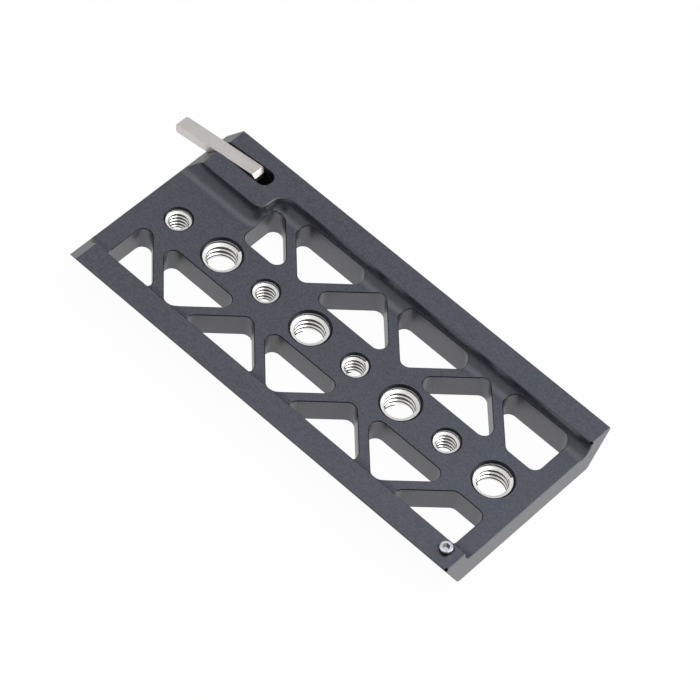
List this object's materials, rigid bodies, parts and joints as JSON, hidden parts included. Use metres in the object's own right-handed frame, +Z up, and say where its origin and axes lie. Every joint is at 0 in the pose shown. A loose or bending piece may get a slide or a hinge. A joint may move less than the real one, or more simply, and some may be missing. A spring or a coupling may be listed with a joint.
{
  "type": "camera dovetail plate",
  "caption": "Camera dovetail plate with a truss-lightened floor between two rails, wire thread inserts along the middle, a swinging safety lever and an end stop screw.",
  "frame": {"origin": "middle of the plate's flat underside", "axes": "+X along the plate to its plain end, +Y to the rail that holds the lever, +Z up out of the wide face"},
  "size_m": [0.1384, 0.06, 0.0132],
  "materials": {
    "anodised_aluminium": "matt dark grey anodised",
    "insert_steel": "bright drawn stainless wire",
    "lever_steel": "fine brushed stainless",
    "screw_steel": "plain stainless"
  },
  "bodies": {
    "plate": {"dovetail_plate": "anodised_aluminium", "quarter_insert_1": "insert_steel", "quarter_insert_2": "insert_steel", "quarter_insert_3": "insert_steel", "quarter_insert_4": "insert_steel", "eighths_insert_1": "insert_steel", "eighths_insert_2": "insert_steel", "eighths_insert_3": "insert_steel", "eighths_insert_4": "insert_steel", "stop_screw": "screw_steel"},
    "lever": {"safety_lever": "lever_steel", "lever_pivot": "screw_steel"}
  },
  "joints": [
    {"name": "lever_swing", "type": "hinge", "parent": "plate", "child": "lever", "pos_m": [-0.0598, 0.0223, 0.01], "axis": [0, 0, 1], "range_deg": [-5, 0]}
  ]
}
